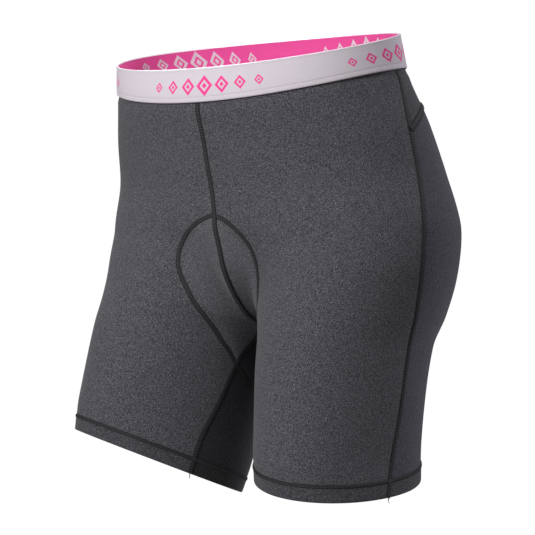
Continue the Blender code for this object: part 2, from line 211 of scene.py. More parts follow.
def body_point(down, column):
    at = {name: line(down) for name, line in BODY_AT.items()}
    side = np.radians(at["side"])
    angle = np.where(column <= 1, side * column, side + (np.pi - side) * (column - 1))
    depth = np.where(np.cos(angle) > 0, at["front"], at["back"])
    across = -depth * np.cos(angle)
    pitch = np.radians(at["pitch"])
    sink = at["dip"] * np.cos(2 * angle)
    return np.stack(
        [
            at["half_width"] * np.sin(angle),
            at["middle"] + across * np.cos(pitch),
            -down + across * np.sin(pitch) - sink,
        ],
        -1,
    )


def turned(first, second, degrees):
    angle = np.radians(degrees)
    cos, sin = np.cos(angle), np.sin(angle)
    return first * cos - second * sin, first * sin + second * cos


def thigh_point(along, column, leg, carried):
    """A point of a thigh ring, with the inseam carried round near the crotch."""
    at = {name: line(np.maximum(along, 0)) for name, line in THIGH_AT.items()}
    side_turn = np.radians(at["side_turn"])
    high = 1 - ease((along - CROTCH_ALONG) / INSEAM_BACK)
    inseam_turn = np.radians(at["inseam_turn"] + leg["inseam"] * high * carried)
    near = np.where(column <= 1, column, 2 - column)
    even = ease((along - CROTCH_ALONG) / SLOW_START)
    slow = np.where(column <= 1, near**2 * (2 - near), near)
    share = (1 - even) * slow + even * near
    front = inseam_turn + (np.pi - side_turn - inseam_turn) * share
    back = 2 * np.pi + inseam_turn - (np.pi + inseam_turn + side_turn) * share
    angle = np.where(column <= 1, front, back)
    depth = np.where(np.sin(angle) > 0, at["front"], at["back"])
    x = at["out"] - at["half_width"] * np.cos(angle)
    y = at["behind"] - depth * np.sin(angle)
    low = ease((along - CROTCH_ALONG) / LEG_LONG)
    rise = np.tan(np.radians(leg["lift"])) * x + np.tan(np.radians(leg["tip"])) * y
    z = low * rise - LEG_SCALE * np.maximum(along, 0)
    x, y = turned(x, y, leg["turn"])
    y, z = turned(y, z, -leg["swing"])
    x, z = turned(x, z, leg["spread"])
    return np.stack([x + HIP[0], y + HIP[1], z + HIP[2] + np.maximum(-along, 0)], -1)


def centre_pull(column):
    """1 at the centre seam and the inseam, and 0 where the crotch no longer reaches."""
    near = np.where(column <= 1, column, 2 - column)
    return np.clip(1 - near / ARCH_REACH, 0, 1) ** 2


def own_point(level, column, leg, carried=1.0):
    """A point of one half before the two halves are joined, with x counted outwards."""
    even, share = blend_of(level, column)
    upper = BLEND_DOWN * np.minimum(level / BLEND_LEVEL, 1)
    down = upper + (CROTCH_DOWN - BLEND_DOWN) * share
    early = (1 - (1 - even) ** BACK_EARLY) * ease(even / BACK_START)
    late = np.where(column <= 1, even, early)
    mix = (ease(share) + (late - ease(share)) * centre_pull(column))[..., None]
    along = np.where(level <= 1, down + HIP[2], CROTCH_ALONG + LEG_LONG * (level - 1))
    return (1 - mix) * body_point(down, column) + mix * thigh_point(along, column, leg, carried)


def form(level, column, leg):
    """Point of the cloth's middle surface, at a level and a column of one half."""
    level, column = np.broadcast_arrays(np.asarray(level, float), np.asarray(column, float))
    point = own_point(level, column, leg)
    upper = np.minimum(level, 1)
    end = np.where(column <= 1, 0.0, 2.0)
    joined = (own_point(upper, end, LEFT, 0.0) + own_point(upper, end, RIGHT, 0.0)) / 2
    joined[..., 0] = 0
    below = np.clip((level - 1) * LEG_LONG / ARCH, 0, 1)
    fade = np.where(level > 1, 1 - np.sqrt(1 - (1 - below) ** 2), 1.0)
    pull = (centre_pull(column) * fade)[..., None]
    point = point + pull * (joined - own_point(upper, end, leg))
    behind = ease((column - 1) / APART_FROM) * ease((2 - column) / APART_INSEAM)
    high = 1 - ease((level - 1) * LEG_LONG / APART_OVER)
    apart = THIGHS_APART * np.sqrt(1 - pull[..., 0]) * behind * high
    x = point[..., 0]
    point[..., 0] = (x + np.sqrt(x * x + apart**2)) / 2 * leg["side"]
    carried = ease((-point[..., 2] - HIP_SHIFT_FROM) / HIP_SHIFT_OVER)
    point[..., 0] += HIP_SHIFT[0] * carried
    point[..., 1] += HIP_SHIFT[1] * carried
    return point


def pad_reach(level, leg):
    """Columns that the pad reaches on the front and on the back panel of one half."""
    front = PAD_AT["front"](level)
    return np.where(front > 0, front * leg["pad"], front), PAD_AT["back"](level)


def pad_inside(level, column, leg):
    """How far inside the pad's outline a place is, as a rough length, and negative outside."""
    near = np.where(column <= 1, column, 2 - column)
    front, back = pad_reach(level, leg)
    behind = np.where(column <= 1, -near, near)
    across = np.minimum(behind + front, back - behind)
    above = np.where(column <= 1, front, back) - near
    return np.where(level > 1, across, above) * COLUMN_LONG


def yoke_level(column):
    return YOKE_AT["level"](np.maximum(column, 1.0))


def spaced(start, end, count):
    return start + (end - start) * np.arange(1, count + 1) / count


CLOTH_TOP = (BAND_DOWN - BAND_LAP) / BLEND_DOWN * BLEND_LEVEL
BAND_FOOT = BAND_DOWN / BLEND_DOWN * BLEND_LEVEL
TUCK_FROM = BAND_FOOT + TUCK_LEVELS / 2
TUCK_TO = TUCK_FROM + TUCK_LEVELS
HEM_LEVEL = 2 - HEM_TALL / LEG_LONG
ARCH_LEVEL = 1 + ARCH_ROWS_OVER * ARCH / LEG_LONG


def level_rows(column):
    """All levels of one column, from the cloth's top to the hem seam."""
    foot = yoke_level(column)
    t = spaced(0, 1, LOWER_ROWS)
    arch = spaced(0, 1, ARCH_ROWS)
    bind = (YOKE_BIND_TALL / BLEND_DOWN) * BLEND_LEVEL
    return np.concatenate(
        [
            [CLOTH_TOP, TUCK_FROM, TUCK_TO],
            spaced(TUCK_TO, foot - bind - BIND_RISE, YOKE_ROWS - 4),
            [foot - bind, foot],
            foot + (1 - foot) * t,
            1 + (ARCH_LEVEL - 1) * arch**ARCH_CROWDED,
            spaced(ARCH_LEVEL, HEM_LEVEL, LEG_ROWS),
        ]
    )


YOKE_FOOT_ROW = 3 + (YOKE_ROWS - 4) + 1
CROTCH_ROW = YOKE_FOOT_ROW + LOWER_ROWS


def net():
    """Levels, columns, points and directions outwards of both halves."""
    columns = np.concatenate([np.linspace(0, 1, FRONT_COLUMNS + 1), 1 + spaced(0, 1, BACK_COLUMNS)])
    levels = np.stack([level_rows(column) for column in columns], 1)
    column_grid = np.broadcast_to(columns, levels.shape)
    halves = {}
    for leg in (LEFT, RIGHT):
        halves[leg["side"]] = form(levels, column_grid, leg)
    return levels, column_grid, halves


def face_directions(points):
    """Sum of the faces' normals at each point of a grid."""
    along = points[1:, 1:] - points[:-1, :-1]
    cross = points[1:, :-1] - points[:-1, 1:]
    normal = np.cross(cross, along)
    total = np.zeros_like(points)
    for rows in (slice(1, None), slice(None, -1)):
        for cols in (slice(1, None), slice(None, -1)):
            total[rows, cols] += normal
    return total


def unit(vectors):
    return vectors / np.maximum(np.linalg.norm(vectors, axis=-1, keepdims=True), 1e-12)


def outward(halves):
    """Directions outwards, shared by pieces that meet at a seam."""
    total = {side: face_directions(points) * side for side, points in halves.items()}
    top = CROTCH_ROW + 1
    for end in (0, -1):
        shared = total[1][:top, end] + total[-1][:top, end]
        shared[:, 0] = 0
        total[1][:top, end] = shared
        total[-1][:top, end] = shared
    for side in (1, -1):
        shared = total[side][CROTCH_ROW:, 0] + total[side][CROTCH_ROW:, -1]
        total[side][CROTCH_ROW:, 0] = shared
        total[side][CROTCH_ROW:, -1] = shared
    crotch = sum(total[side][CROTCH_ROW, 0] for side in (1, -1))
    for side in (1, -1):
        total[side][CROTCH_ROW, 0] = crotch
        total[side][CROTCH_ROW, -1] = crotch
    return {side: unit(vectors) for side, vectors in total.items()}


# How the cloth and its sewing stand out, in metres.
SEAM_WIDE = 0.0052
SEAM_TALL = 0.00055
SEAM_STEP = 0.0005  # along a seam between rings of its mesh
RUNG_PITCH = 0.0024  # of the thread that crosses a seam
RUNG_TALL = 0.00022
NEEDLE_AT = 0.72  # of the half width, where each needle line runs
NEEDLE_WIDE = 0.16
NEEDLE_TALL = 0.00018
SEAM_SUNK = 0.00025  # how far its edges lie in the cloth
PAD_SEAM_WIDE = 0.0046
HEM_SEAM_WIDE = 0.0034
YOKE_SEAM_WIDE = 0.0062
YOKE_SEAM_TALL = 0.0013
HEM_SEAM_TALL = 0.0006
HEM_SEAM_RAISED = 0.0002  # over the cloth's face
PAD_SEAM_TALL = 0.00045
LEVEL_STEP = 1e-4  # for slopes of the form


# Soft creases, each between two places of the net. A positive rise is a ridge and a negative one a
# trough. The last column says which half has it: 1 is the wearer's left, -1 the right, 0 both.
CREASE_COLUMNS = "level_from column_from level_to column_to half_width rise side".split()
CREASES = (
    (0.97, 0.06, 0.80, 0.52, 0.0060, -0.0005, 1),
    (1.03, 0.06, 0.98, 0.50, 0.0055, -0.0004, 1),
    (0.90, 0.30, 1.60, 0.46, 0.0120, 0.0006, 1),
    (0.20, 0.30, 0.75, 0.42, 0.0130, 0.0005, 1),
    (0.95, 0.10, 0.84, 0.55, 0.0065, -0.0005, -1),
    (1.10, 0.20, 1.75, 0.55, 0.0130, 0.0006, -1),
    (0.18, 0.45, 0.50, 0.62, 0.0110, 0.0004, -1),
    (1.40, 0.10, 1.62, 0.45, 0.0080, -0.0004, -1),
    (1.02, 1.92, 0.97, 1.35, 0.0065, -0.0007, 0),
    (1.12, 1.85, 1.08, 1.40, 0.0075, -0.0005, 0),
    (0.60, 1.95, 0.42, 1.60, 0.0070, -0.0004, 0),
    (1.30, 1.60, 1.80, 1.40, 0.0120, 0.0005, 0),
    (1.86, 1.30, 1.93, 1.75, 0.0050, -0.0003, 0),
)
LEVEL_LONG = 0.18  # about one level along a leg
CREASE_ENDS = 0.08  # share of the half wave that is cut off at each end of a crease
CREASE_FADE = 0.08  # columns beside a seam over which creases fade
CREASE_FADE_TOP = 0.05  # levels
CREASE_FADE_HEM = 0.03


def crease(level, column, leg):
    """How far the creases lift the cloth, and by minus how much they sink it."""
    total = np.zeros(np.broadcast(level, column).shape)
    for row in CREASES:
        at = dict(zip(CREASE_COLUMNS, row))
        if at["side"] not in (0, leg["side"]):
            continue
        start = np.array([at["level_from"] * LEVEL_LONG, at["column_from"] * COLUMN_LONG])
        run = np.array([at["level_to"] * LEVEL_LONG, at["column_to"] * COLUMN_LONG]) - start
        down = level * LEVEL_LONG - start[0]
        across = column * COLUMN_LONG - start[1]
        share = np.clip((down * run[0] + across * run[1]) / (run @ run), 0, 1)
        away = np.hypot(down - share * run[0], across - share * run[1]) / at["half_width"]
        wave = np.sin(math.pi * (CREASE_ENDS + (1 - 2 * CREASE_ENDS) * share))
        total += at["rise"] * np.exp(-(away**2)) * wave
    at_edges = ease(column / CREASE_FADE) * ease((2 - column) / CREASE_FADE)
    at_edges = at_edges * ease(np.abs(column - 1) / CREASE_FADE)
    at_top = ease((level - TUCK_TO) / CREASE_FADE_TOP)
    return total * at_edges * at_top * ease((HEM_LEVEL - level) / CREASE_FADE_HEM)


def surface(level, column, leg):
    """Points of the cloth's middle surface and the directions outwards there."""
    level = np.asarray(level, float)
    column = np.asarray(column, float)
    point = form(level, column, leg)
    lower = form(level + LEVEL_STEP, column, leg) - form(level - LEVEL_STEP, column, leg)
    right = np.minimum(column + LEVEL_STEP, 2.0)
    left = np.maximum(column - LEVEL_STEP, 0.0)
    across = form(level, right, leg) - form(level, left, leg)
    out = unit(np.cross(lower, across)) * leg["side"]
    return point, out


def height(level, column, leg):
    """How far the outer face stands out from the middle surface."""
    tuck = TUCK * ease((TUCK_TO - level) / TUCK_LEVELS)
    lift = PAD_LIFT * ease(pad_inside(level, column, leg) / PAD_EASE)
    return CLOTH / 2 - tuck + lift + crease(level, column, leg)


def add_mesh(name, verts, faces, materials, uv=None, face_material=None):
    mesh = bpy.data.meshes.new(name)
    verts = np.asarray(verts, float)
    faces = np.asarray(faces, np.int32)
    mesh.vertices.add(len(verts))
    mesh.vertices.foreach_set("co", verts.ravel())
    mesh.loops.add(faces.size)
    mesh.loops.foreach_set("vertex_index", faces.ravel())
    mesh.polygons.add(len(faces))
    corners = faces.shape[1]
    mesh.polygons.foreach_set("loop_start", np.arange(0, faces.size, corners, dtype=np.int32))
    mesh.polygons.foreach_set("loop_total", np.full(len(faces), corners, np.int32))
    for material in materials:
        mesh.materials.append(material)
    if face_material is not None:
        mesh.polygons.foreach_set("material_index", np.asarray(face_material, np.int32))
    mesh.update(calc_edges=True)
    if uv is not None:
        layer = mesh.uv_layers.new(name="place")
        layer.data.foreach_set("uv", np.asarray(uv, np.float32).ravel())
    mesh.validate()
    mesh.shade_smooth()
    obj = bpy.data.objects.new(name, mesh)
    bpy.context.scene.collection.objects.link(obj)
    return obj


def mark(piece, name, values):
    """One number for each point of a piece, for its material to read."""
    marks = piece.data.attributes.new(name, "FLOAT", "POINT")
    marks.data.foreach_set("value", np.asarray(values, np.float32))


INNER_COLUMN, INNER_COLUMNS = 1.50, 0.30  # where the painted shade of the inner thigh starts, and over how much
INNER_LEVEL, INNER_LEVELS = 0.70, 0.36


def inner_thigh_shade(level, column):
    """1 on the inner side of a thigh, behind the inseam, where shade is painted into the knit."""
    inward = ease((column - INNER_COLUMN) / INNER_COLUMNS)
    return inward * ease((level - INNER_LEVEL) / INNER_LEVELS)


def grid_faces(rows, cols, closed=False, start=0):
    i, j = np.meshgrid(np.arange(rows - 1), np.arange(cols if closed else cols - 1), indexing="ij")
    k = (j + 1) % cols
    quads = np.stack([i * cols + j, (i + 1) * cols + j, (i + 1) * cols + k, i * cols + k], -1)
    return quads.reshape(-1, 4) + start


def shell(name, points, directions, inner, outer, materials, closed=False, uv=None, period=0):
    """A thin closed shell of cloth: an outer face, an inner face and the rims between them."""
    rows, cols = points.shape[:2]
    outside = points + directions * outer[..., None]
    inside = points - directions * inner[..., None]
    verts = np.concatenate([outside.reshape(-1, 3), inside.reshape(-1, 3)])
    shift = rows * cols
    front = grid_faces(rows, cols, closed)
    back = front[:, ::-1] + shift
    index = np.arange(shift).reshape(rows, cols)
    if closed:
        rims = [index[0], index[-1][::-1]]
    else:
        rims = [np.concatenate([index[0], index[1:, -1], index[-1, -2::-1], index[-2:0:-1, 0]])]
    sides = []
    for rim in rims:
        ahead = np.roll(rim, -1)
        sides.append(np.stack([rim, ahead, ahead + shift, rim + shift], -1))
    faces = np.concatenate([front, back, *sides])
    kind = np.zeros(len(faces), int)
    corners = None
    if uv is not None:
        both = np.concatenate([uv.reshape(-1, 2), uv.reshape(-1, 2)])
        corners = both[faces]
        lined = np.arange(len(faces)) - len(front)
        below_rim = corners[..., 1].max(1) < BAND_DOWN - PALE_RIM
        kind[(lined >= 0) & (lined < len(back)) & below_rim] = 1
        over = corners[..., 0].max(1, keepdims=True) - corners[..., 0] > period / 2
        corners[..., 0] += period * over
    return add_mesh(name, verts, faces, materials, uv=corners, face_material=kind)


class Nodes:
    """Short calls that build one material's node tree."""

    def __init__(self, name, rough):
        self.material = bpy.data.materials.new(name)
        self.material.use_nodes = True
        self.tree = self.material.node_tree
        self.surface = self.tree.nodes["Principled BSDF"]
        self.surface.inputs["Roughness"].default_value = rough
        self.surface.inputs["Metallic"].default_value = 0.0

    def make(self, kind, values=(), **settings):
        node = self.tree.nodes.new(kind)
        for key, value in settings.items():
            setattr(node, key, value)
        for i, value in enumerate(values):
            self.put(node.inputs[i], value)
        return node

    def put(self, socket, value):
        if isinstance(value, bpy.types.NodeSocket):
            self.tree.links.new(value, socket)
        elif value is not None:
            socket.default_value = value

    def math(self, operation, *values):
        return self.make("ShaderNodeMath", values, operation=operation).outputs[0]

    def place(self):
        return self.make("ShaderNodeTexCoord").outputs["Object"]

    def uv(self):
        split = self.make("ShaderNodeSeparateXYZ", [self.make("ShaderNodeUVMap").outputs["UV"]])
        return split.outputs["X"], split.outputs["Y"]

    def noise(self, scale, detail=2.0, rough=0.5):
        node = self.make("ShaderNodeTexNoise")
        self.put(node.inputs["Vector"], self.place())
        self.put(node.inputs["Scale"], scale)
        self.put(node.inputs["Detail"], detail)
        self.put(node.inputs["Roughness"], rough)
        return node.outputs["Fac"]

    def ramp(self, value, stops):
        node = self.make("ShaderNodeValToRGB", [value])
        line = node.color_ramp
        line.elements[0].position, line.elements[0].color = stops[0][0], (*stops[0][1], 1)
        line.elements[1].position, line.elements[1].color = stops[-1][0], (*stops[-1][1], 1)
        for where, color in stops[1:-1]:
            line.elements.new(where).color = (*color, 1)
        return node.outputs["Color"]

    def mix(self, factor, first, second):
        node = self.make("ShaderNodeMix", data_type="RGBA")
        self.put(node.inputs["Factor"], factor)
        for name, color in (("A", first), ("B", second)):
            socket = [s for s in node.inputs if s.name == name and s.type == "RGBA"][0]
            self.put(socket, (*color, 1) if isinstance(color, tuple) else color)
        return [s for s in node.outputs if s.type == "RGBA"][0]

    def bump(self, value, distance, strength=1.0):
        node = self.make("ShaderNodeBump")
        node.inputs["Strength"].default_value = strength
        node.inputs["Distance"].default_value = distance
        self.put(node.inputs["Height"], value)
        self.put(self.surface.inputs["Normal"], node.outputs["Normal"])

    def color(self, value):
        color = (*value, 1) if isinstance(value, tuple) else value
        self.put(self.surface.inputs["Base Color"], color)


FLECKS = 1000.0  # for each metre
SPECKS = 1900.0
FUZZ = 1500.0
FUZZ_TALL = 0.0002
PADDED_PALER = 0.10
PADDED = (0.30, 0.30, 0.32)
# How far the painted shade of the inner thigh darkens the knit towards black.
INNER_SHADE_DARKER = 0.66


def knit(name, dark, middle, light):
    """Heather knit: fine flecks with a brushed surface, paler where the pad backs it, with painted
    shade on the inner thigh.
    """
    nodes = Nodes(name, 0.92)
    fleck = nodes.noise(FLECKS, 1.0)
    speck = nodes.noise(SPECKS, 0.0)
    both = nodes.math("ADD", nodes.math("MULTIPLY", fleck, 0.5), nodes.math("MULTIPLY", speck, 0.5))
    plain = nodes.ramp(both, [(0.33, dark), (0.50, middle), (0.67, light)])
    over = nodes.make("ShaderNodeAttribute", attribute_name="over_pad").outputs["Fac"]
    lighter = nodes.mix(PADDED_PALER, plain, PADDED)
    # Painted shade: the knit darkened towards black on the inner thigh.
    painted_shade = nodes.mix(INNER_SHADE_DARKER, plain, (0.0, 0.0, 0.0))
    inner = nodes.make("ShaderNodeAttribute", attribute_name="painted_inner_shade").outputs["Fac"]
    nodes.color(nodes.mix(inner, nodes.mix(over, plain, lighter), painted_shade))
    nodes.bump(nodes.noise(FUZZ, 2.0), FUZZ_TALL, 0.45)
    nodes.surface.inputs["Sheen Weight"].default_value = 0.12
    nodes.surface.inputs["Sheen Roughness"].default_value = 0.5
    nodes.surface.inputs["Specular IOR Level"].default_value = 0.2
    return nodes.material


THREAD_GRAIN = 1800.0  # for each metre
THREAD_TWIST = 2600.0
THREAD_TWIST_TALL = 0.0001


def thread(name, color, rough=0.75, darkest=0.5, lightest=2.6):
    """Sewing thread: painted highlight where it lies on top, on the crests, and painted shade in
    the dips, as the attribute says.
    """
    nodes = Nodes(name, rough)
    grain = nodes.math("MULTIPLY", nodes.noise(THREAD_GRAIN, 1.0), 0.5)
    painted_crest_light = nodes.make("ShaderNodeAttribute", attribute_name="painted_crest_light").outputs["Fac"]
    shade = nodes.math("ADD", grain, nodes.math("MULTIPLY", painted_crest_light, 0.6))
    darker = tuple(darkest * c for c in color)
    lighter = tuple(min(1.0, lightest * c) for c in color)
    nodes.color(nodes.ramp(shade, [(0.15, darker), (0.40, color), (0.85, lighter)]))
    nodes.bump(nodes.noise(THREAD_TWIST, 1.0), THREAD_TWIST_TALL, 0.6)
    nodes.surface.inputs["Specular IOR Level"].default_value = 0.25
    return nodes.material


GROUND = (0.71, 0.645, 0.70)
PINK = (0.98, 0.085, 0.38)
DEEP_PINK = (0.95, 0.055, 0.32)
PALE = (0.86, 0.66, 0.75)
MOTIF_PITCH = 0.1865
MOTIF_TIMES = 4  # round the waist
MOTIF_FROM = 0.0095  # of the first group's middle, to the left of the centre front
MOTIF_STEP = 0.0176  # between its lozenges
MOTIF_COUNT = 7
MOTIF_TALL = 0.0098  # half a lozenge
MOTIF_SLIM = 2.1
MOTIF_SHRINK = 0.16  # from each lozenge to the next, away from the group's middle
MOTIF_HOLLOW = 0.58  # share of a lozenge that its outline leaves free
MOTIF_CORE = 0.30
MOTIF_UP = 0.0150
INSIDE_MOVED = 0.083  # the inside's groups lie this much further along
INSIDE_UP = 0.0205
TURNS_AHEAD = 100.5  # keeps the count of groups positive, with each group in the middle of its own
RIB_PITCH = 0.0009
WALE_PITCH = 0.0011
RIB_TALL = 0.00009


def elastic(name, ground, motif, moved, middle_up):
    """Knitted elastic with a row of woven lozenges: wide ones in the middle of each group."""
    nodes = Nodes(name, 0.85)
    along, up = nodes.uv()
    moved_by = TURNS_AHEAD + moved / MOTIF_PITCH
    turn = nodes.math("ADD", nodes.math("DIVIDE", along, MOTIF_PITCH), moved_by)
    local = nodes.math("SUBTRACT", nodes.math("FRACT", turn), 0.5)
    local = nodes.math("DIVIDE", nodes.math("MULTIPLY", local, MOTIF_PITCH), MOTIF_STEP)
    which = nodes.math("ROUND", local)
    offset = nodes.math("ABSOLUTE", nodes.math("SUBTRACT", local, which))
    rank = nodes.math("ABSOLUTE", which)
    size = nodes.math("SUBTRACT", 1.0, nodes.math("MULTIPLY", rank, MOTIF_SHRINK))
    rise = nodes.math("ABSOLUTE", nodes.math("SUBTRACT", up, middle_up))
    slim = nodes.math("MULTIPLY", offset, MOTIF_SLIM)
    reach = nodes.math("ADD", slim, nodes.math("DIVIDE", rise, MOTIF_TALL))
    filled = nodes.math("LESS_THAN", reach, size)
    ring = nodes.math("GREATER_THAN", reach, nodes.math("MULTIPLY", size, MOTIF_HOLLOW))
    core = nodes.math("LESS_THAN", reach, nodes.math("MULTIPLY", size, MOTIF_CORE))
    drawn = nodes.math("MULTIPLY", filled, nodes.math("MAXIMUM", ring, core))
    drawn = nodes.math("MULTIPLY", drawn, nodes.math("LESS_THAN", rank, MOTIF_COUNT / 2))
    darker = tuple(0.93 * c for c in ground)
    lighter = tuple(min(1.0, 1.05 * c) for c in ground)
    body = nodes.mix(nodes.noise(900.0, 2.0), darker, lighter)
    nodes.color(nodes.mix(drawn, body, motif))
    ribs = nodes.math("SINE", nodes.math("MULTIPLY", up, 2 * math.pi / RIB_PITCH))
    wales = nodes.math("SINE", nodes.math("MULTIPLY", along, 2 * math.pi / WALE_PITCH))
    weave = nodes.math("ADD", ribs, nodes.math("MULTIPLY", wales, 0.6))
    nodes.bump(weave, RIB_TALL, 0.5)
    nodes.surface.inputs["Sheen Weight"].default_value = 0.08
    return nodes.material


# One heather knit in four copies: the back, yoke and hem copies are darker than the front one, and
# the back one bluer, which is painted shade.
KNIT_FRONT = knit("knit_front", (0.019, 0.019, 0.022), (0.065, 0.064, 0.074), (0.178, 0.175, 0.198))
KNIT_BACK = knit("knit_back", (0.017, 0.017, 0.022), (0.053, 0.052, 0.068), (0.140, 0.138, 0.172))
KNIT_YOKE = knit("knit_yoke", (0.017, 0.016, 0.019), (0.054, 0.052, 0.060), (0.140, 0.134, 0.150))
KNIT_HEM = knit("knit_hem", (0.015, 0.015, 0.017), (0.051, 0.050, 0.058), (0.140, 0.138, 0.156))
THREAD = thread("thread_dark", (0.020, 0.020, 0.022))
PALE_THREAD = thread("thread_pale", (0.64, 0.58, 0.63), 0.8, 0.92, 1.1)
BAND_OUT = elastic("elastic_out", GROUND, DEEP_PINK, 0.0, MOTIF_UP)
BAND_IN = elastic("elastic_in", PINK, PALE, INSIDE_MOVED, INSIDE_UP)


# The cloth.
levels, column_grid, halves = net()
directions = outward(halves)
tuck = TUCK * ease((TUCK_TO - levels) / TUCK_LEVELS)
cloth = {}
for leg, word in ((LEFT, "left"), (RIGHT, "right")):
    side = leg["side"]
    over_pad = ease(pad_inside(levels, column_grid, leg) / PAD_EASE)
    lift = PAD_LIFT * over_pad
    folds = crease(levels, column_grid, leg)
    # Painted shade on the inner thighs, for the knit to darken.
    painted_inner_shade = inner_thigh_shade(levels, column_grid)
    for part, cols, top, material in (
        ("front", slice(0, FRONT_COLUMNS + 1), 0, KNIT_FRONT),
        ("back", slice(FRONT_COLUMNS, None), YOKE_FOOT_ROW, KNIT_BACK),
    ):
        here = (slice(top, None), cols)
        grids = [
            halves[side][here],
            directions[side][here],
            CLOTH / 2 + (tuck - folds)[here],
            CLOTH / 2 - (tuck - folds)[here] + lift[here],
        ]
        if side < 0:
            grids = [grid[:, ::-1] for grid in grids]
        name = f"{part}_{word}"
        piece = shell(f"cloth_{name}", *grids, [material])
        mark(piece, "over_pad", np.tile(over_pad[here][:, ::side].ravel(), 2))
        mark(piece, "painted_inner_shade", np.tile(painted_inner_shade[here][:, ::side].ravel(), 2))
        cloth[name] = piece


def round_the_back(left, right):
    return np.concatenate([left, right[:, ::-1][:, 1:]], 1)


here = (slice(0, YOKE_FOOT_ROW + 1), slice(FRONT_COLUMNS, None))
yoke_tuck = round_the_back(tuck[here], tuck[here])
yoke_points = round_the_back(halves[1][here], halves[-1][here])
yoke_out = round_the_back(directions[1][here], directions[-1][here])
yoke_walls = (CLOTH / 2 + yoke_tuck, CLOTH / 2 - yoke_tuck)
cloth["back_yoke"] = shell("cloth_back_yoke", yoke_points, yoke_out, *yoke_walls, [KNIT_YOKE])


def closed_directions(points):
    wrapped = np.concatenate([points[:, -1:], points, points[:, :1]], 1)
    return unit(face_directions(wrapped)[:, 1:-1])


def rolled(share, least):
    """How full a rolled edge is, by the share of its roundness that is covered."""
    return np.sqrt(np.clip(1 - np.clip(1 - share, 0, 1) ** 2, least, 1))


# The waistband: rolled at both edges, with a lip below the rim and a sewn groove above the foot.
BAND_RINGS = 64
BAND_COLUMNS = 150
LINE_UP = 0.0048  # of the sewn line above the foot
LINE_WIDE = 0.0006
LIP = 0.00015  # of the rim, a little below its edge
LIP_DOWN = 0.0014
LIP_WIDE = 0.0010
GROOVE = 0.00022
LEAST_ROUNDED = 0.02  # keeps the two faces apart at a rolled edge
PALE_RIM = 0.0009  # height of the outer yarn's edge that shows inside
RIM_ROUND = 0.0009
FOOT_ROUND = 0.0012
rings = np.linspace(0, BAND_FOOT, BAND_RINGS + 1)
around = np.linspace(2, 0, BAND_COLUMNS + 1)
ring_grid, around_grid = np.meshgrid(rings, around, indexing="ij")
right_half = form(ring_grid, around_grid, RIGHT)
left_half = form(ring_grid, around_grid, LEFT)[:, ::-1]
band_points = np.concatenate([right_half, left_half[:, 1:-1]], 1)
band_out = closed_directions(band_points)
up_band = (1 - rings / BAND_FOOT) * BAND_DOWN
rounded = rolled(up_band / FOOT_ROUND, LEAST_ROUNDED)
rounded *= rolled((BAND_DOWN - up_band) / RIM_ROUND, LEAST_ROUNDED)
lip = LIP * np.exp(-((((BAND_DOWN - up_band) - LIP_DOWN) / LIP_WIDE) ** 2))
groove = GROOVE * np.exp(-(((up_band - LINE_UP) / LINE_WIDE) ** 2))
middle = CLOTH / 2 - TUCK + SEAM_GAP + ELASTIC / 2
ones = np.ones(band_points.shape[1])
half = (ELASTIC / 2 * rounded)[:, None] * ones
outer_side = half + (lip - groove)[:, None] * ones
lengths = np.linalg.norm(np.diff(band_points, axis=1, append=band_points[:, :1]), axis=-1).mean(0)
place_along = np.concatenate([[0], np.cumsum(lengths)[:-1]])
place_along = (place_along - place_along[BAND_COLUMNS]) * MOTIF_TIMES * MOTIF_PITCH / lengths.sum()
place = np.stack(np.broadcast_arrays(place_along - MOTIF_FROM, up_band[:, None]), -1)
waistband = shell(
    "waistband_elastic",
    band_points,
    band_out,
    half - middle,
    outer_side + middle,
    [BAND_OUT, BAND_IN],
    closed=True,
    uv=place,
    period=MOTIF_TIMES * MOTIF_PITCH,
)


# The hems: turned-up cloth, a little rolled at the edge.
HEM_RINGS = 26
HEM_COLUMNS = 280
HEM_ROUND = 0.0016
HEM_LEAST_ROUNDED = 0.03
for leg, word in ((LEFT, "left"), (RIGHT, "right")):
    rings = np.linspace(HEM_LEVEL, 2, HEM_RINGS + 1)
    around = np.linspace(0, 2, HEM_COLUMNS + 1)[:-1]
    ring_grid, around_grid = np.meshgrid(rings, around, indexing="ij")
    points = form(ring_grid, around_grid, leg)[:, :: leg["side"]]
    out = closed_directions(points)
    below = (2 - rings) / (2 - HEM_LEVEL) * HEM_TALL
    thick = TURN_UP / 2 * rolled(below / HEM_ROUND, HEM_LEAST_ROUNDED)
    half = thick[:, None] * np.ones(points.shape[1])
    hem_piece = shell(f"cloth_hem_{word}", points, out, half, half, [KNIT_HEM], closed=True)
    # The same painted shade on the hems, behind the inseam.
    behind = inner_thigh_shade(ring_grid, around_grid)[:, :: leg["side"]]
    mark(hem_piece, "painted_inner_shade", np.tile(behind.ravel(), 2))
    cloth[f"hem_{word}"] = hem_piece


def resampled(points, directions, step, closed=False):
    """The same line with even steps, and unit directions along and across it."""
    if closed:
        points = np.concatenate([points, points[:1]])
        directions = np.concatenate([directions, directions[:1]])
    far = np.concatenate([[0], np.cumsum(np.linalg.norm(np.diff(points, axis=0), axis=1))])
    count = max(4, int(round(far[-1] / step)))
    at = np.linspace(0, far[-1], count + 1)
    if closed:
        at = at[:-1]
    line = np.stack([np.interp(at, far, points[:, k]) for k in range(3)], -1)
    out = unit(np.stack([np.interp(at, far, directions[:, k]) for k in range(3)], -1))
    if closed:
        tangent = np.roll(line, -1, 0) - np.roll(line, 1, 0)
    else:
        tangent = np.gradient(line, axis=0)
    tangent = unit(tangent)
    return line, out, tangent, at


PROFILE = np.array([-1.0, -0.93, -0.72, -0.55, -0.36, -0.12, 0.12, 0.36, 0.55, 0.72, 0.93, 1.0])


